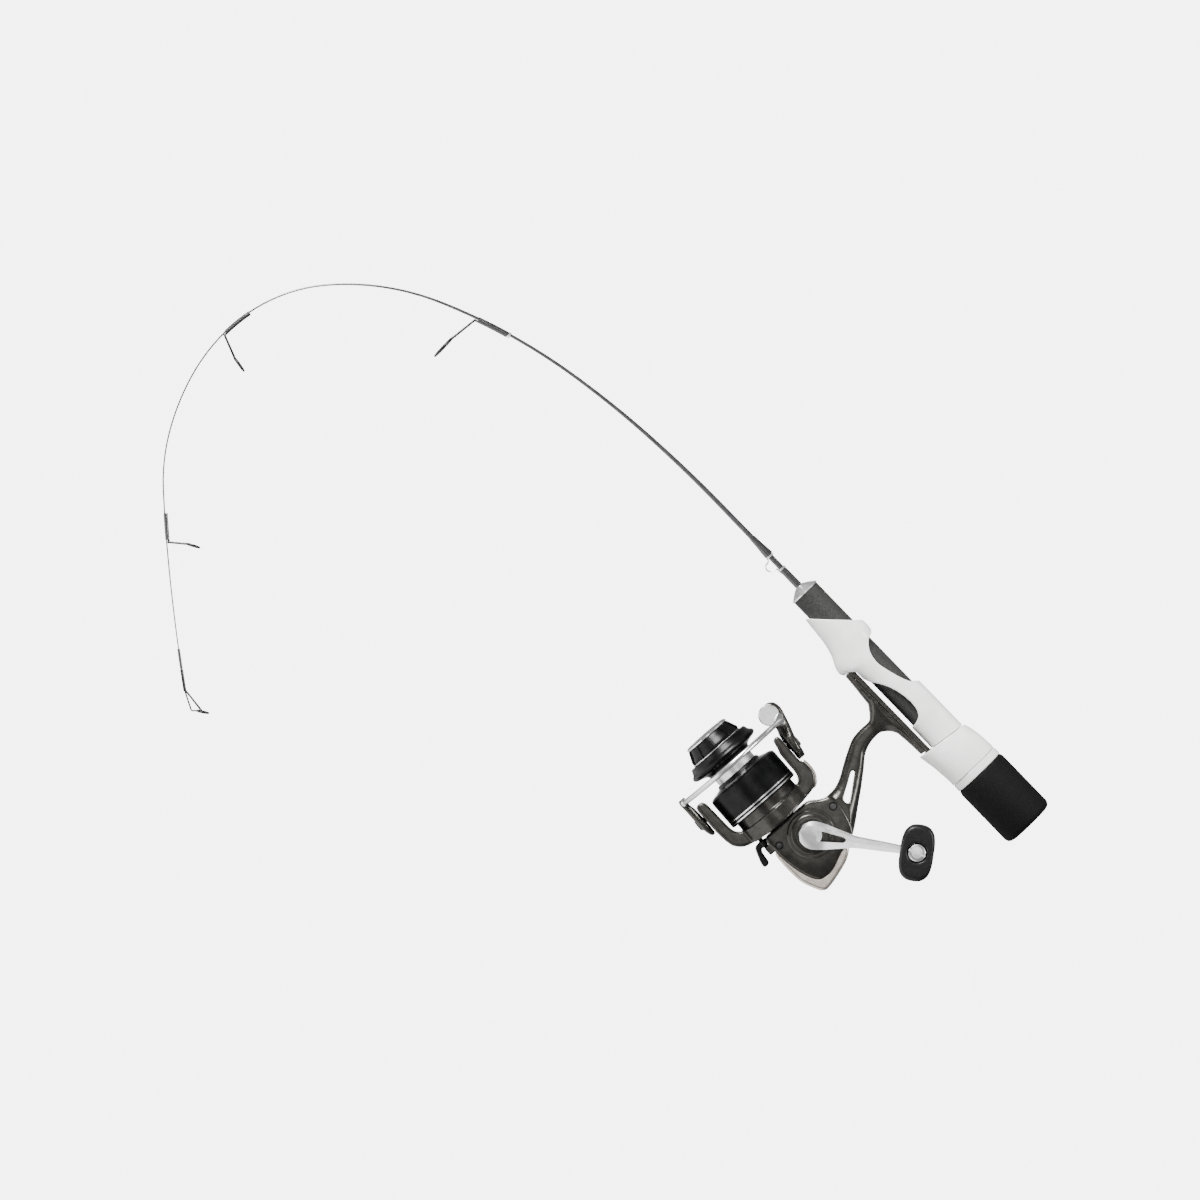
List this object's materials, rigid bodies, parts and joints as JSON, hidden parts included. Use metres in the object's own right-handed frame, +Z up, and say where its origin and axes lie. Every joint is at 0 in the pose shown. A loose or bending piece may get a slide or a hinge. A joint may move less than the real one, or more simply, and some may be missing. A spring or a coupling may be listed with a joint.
{
  "type": "ice fishing rod with spinning reel",
  "caption": "Short ice fishing rod with a deeply bent blank, a split foam and pearl grip, and a small spinning reel with crank, rotor, bail and front drag.",
  "frame": {"origin": "centre of the butt's flat end face", "axes": "+X toward the tip along the grip, +Z up and away from the reel, +Y toward the crank"},
  "size_m": [0.3957, 0.0785, 0.2389],
  "materials": {
    "graphite": "dark graphite under clear varnish",
    "brown_fibre": "fibre bushing",
    "grey_grain": "dark grey with a fine grain",
    "pearl": "white pearl",
    "satin_silver": "satin",
    "black_thread": "thread under varnish",
    "silver_band": "metallic thread",
    "wire_steel": "bright steel",
    "black_wire": "black plated",
    "dark_ring": "polished ceramic",
    "foam": "closed-cell foam",
    "gunmetal": "satin gunmetal",
    "champagne": "satin champagne silver",
    "bronze": "machined",
    "bright_silver": "polished",
    "soft_black": "soft touch",
    "gun_screw": "dark plated",
    "white_nylon": "moulded nylon",
    "spool_black": "black anodised",
    "felt": "oiled felt"
  },
  "bodies": {
    "rod": {"blank": "graphite", "blank_arbors": "brown_fibre", "core_tube": "grey_grain", "seat_sleeve": "pearl", "front_cap": "satin_silver", "fore_wraps": "black_thread", "winding_bands": "silver_band", "hook_keeper": "wire_steel", "guide_1_frame": "black_wire", "guide_2_frame": "black_wire", "guide_3_frame": "black_wire", "tip_top_frame": "black_wire", "guide_rings": "dark_ring", "guide_wraps": "black_thread", "reel_frame": "gunmetal", "side_plate": "gunmetal", "rear_cover": "champagne", "plate_screws": "gun_screw", "crank_bushes": "bronze", "bearing_outer_race": "wire_steel", "bearing_balls": "wire_steel"},
    "hood": {"hood": "pearl"},
    "lock_grip": {"lock_ring": "pearl", "butt_grip": "foam"},
    "crank": {"crank_arm": "satin_silver", "crank_shaft": "wire_steel", "drive_gear": "bronze", "osc_pinion": "wire_steel", "crank_cap": "satin_silver", "knob_spindle": "wire_steel", "knob_screw": "bright_silver"},
    "knob": {"knob": "soft_black"},
    "rotor": {"rotor": "gunmetal", "arm_cover": "champagne", "rotor_nut": "wire_steel", "pinion": "bronze", "ratchet_ring": "wire_steel", "bail_spring": "wire_steel", "bail_screws": "gun_screw", "bearing_inner_race": "wire_steel"},
    "bail": {"bail_arm": "gunmetal", "bail_wire": "bright_silver", "bail_holder": "gunmetal", "roller_cap": "satin_silver"},
    "roller": {"line_roller": "bright_silver"},
    "osc_gear": {"osc_gear": "white_nylon"},
    "shaft": {"main_shaft": "wire_steel", "osc_slider": "bronze", "drag_discs": "wire_steel"},
    "spool": {"spool": "spool_black", "spool_arbor": "satin_silver", "skirt_stripes": "bright_silver", "drag_felts": "felt", "drag_clip": "wire_steel"},
    "drag_knob": {"drag_knob": "spool_black", "drag_trim": "bright_silver", "drag_spring": "wire_steel"},
    "drag_nut": {"drag_nut": "bronze"},
    "ar_lever": {"ar_lever": "soft_black"}
  },
  "joints": [
    {"name": "lock_turn", "type": "hinge", "parent": "hood", "child": "lock_grip", "pos_m": [0.016, 0, 0], "axis": [1, 0, 0], "range_deg": [-1440, 0]},
    {"name": "hood_slide", "type": "slide", "parent": "rod", "child": "hood", "axis": [1, 0, 0], "range_m": [-0.0081, 0]},
    {"name": "crank_turn", "type": "hinge", "parent": "rod", "child": "crank", "pos_m": [0.063, 0, -0.071], "axis": [0, 1, 0], "continuous": true},
    {"name": "knob_spin", "type": "hinge", "parent": "crank", "child": "knob", "pos_m": [0.0276, 0.047, -0.04403], "axis": [0, 1, 0], "continuous": true},
    {"name": "rotor_spin", "type": "hinge", "parent": "rod", "child": "rotor", "pos_m": [0.08329, 0, -0.07594], "axis": [0.9986, 0, 0.0523], "continuous": true},
    {"name": "bail_flip", "type": "hinge", "parent": "rotor", "child": "bail", "pos_m": [0.09777, 0, -0.07519], "axis": [0.0523, 0, -0.9986], "range_deg": [0, 105]},
    {"name": "roller_spin", "type": "hinge", "parent": "bail", "child": "roller", "pos_m": [0.11258, 0.0033, -0.04837], "axis": [0, 1, 0], "continuous": true},
    {"name": "osc_spin", "type": "hinge", "parent": "rod", "child": "osc_gear", "pos_m": [0.0544, -0.0046, -0.07506], "axis": [0, 1, 0], "continuous": true},
    {"name": "spool_stroke", "type": "slide", "parent": "rod", "child": "shaft", "axis": [0.9986, 0, 0.0523], "range_m": [-0.002, 0.0024]},
    {"name": "drag_slip", "type": "hinge", "parent": "shaft", "child": "spool", "pos_m": [0.09927, 0, -0.07511], "axis": [0.9986, 0, 0.0523], "continuous": true},
    {"name": "drag_turn", "type": "hinge", "parent": "shaft", "child": "drag_knob", "pos_m": [0.12123, 0, -0.07396], "axis": [0.9986, 0, 0.0523], "range_deg": [-720, 0]},
    {"name": "nut_travel", "type": "slide", "parent": "drag_knob", "child": "drag_nut", "axis": [0.9986, 0, 0.0523], "range_m": [-0.00102, 0]},
    {"name": "lever_switch", "type": "hinge", "parent": "rod", "child": "ar_lever", "pos_m": [0.07193, 0, -0.08856], "axis": [0.9986, 0, 0.0523], "range_deg": [0, 28]}
  ],
  "couplings": [
    {"joint": "hood_slide", "follows": "lock_turn", "m_per_rad": 0.00031831},
    {"joint": "rotor_spin", "follows": "crank_turn", "ratio": -4.5556},
    {"joint": "osc_spin", "follows": "crank_turn", "ratio": -0.54546},
    {"joint": "nut_travel", "follows": "drag_turn", "m_per_rad": 0.000079577}
  ]
}
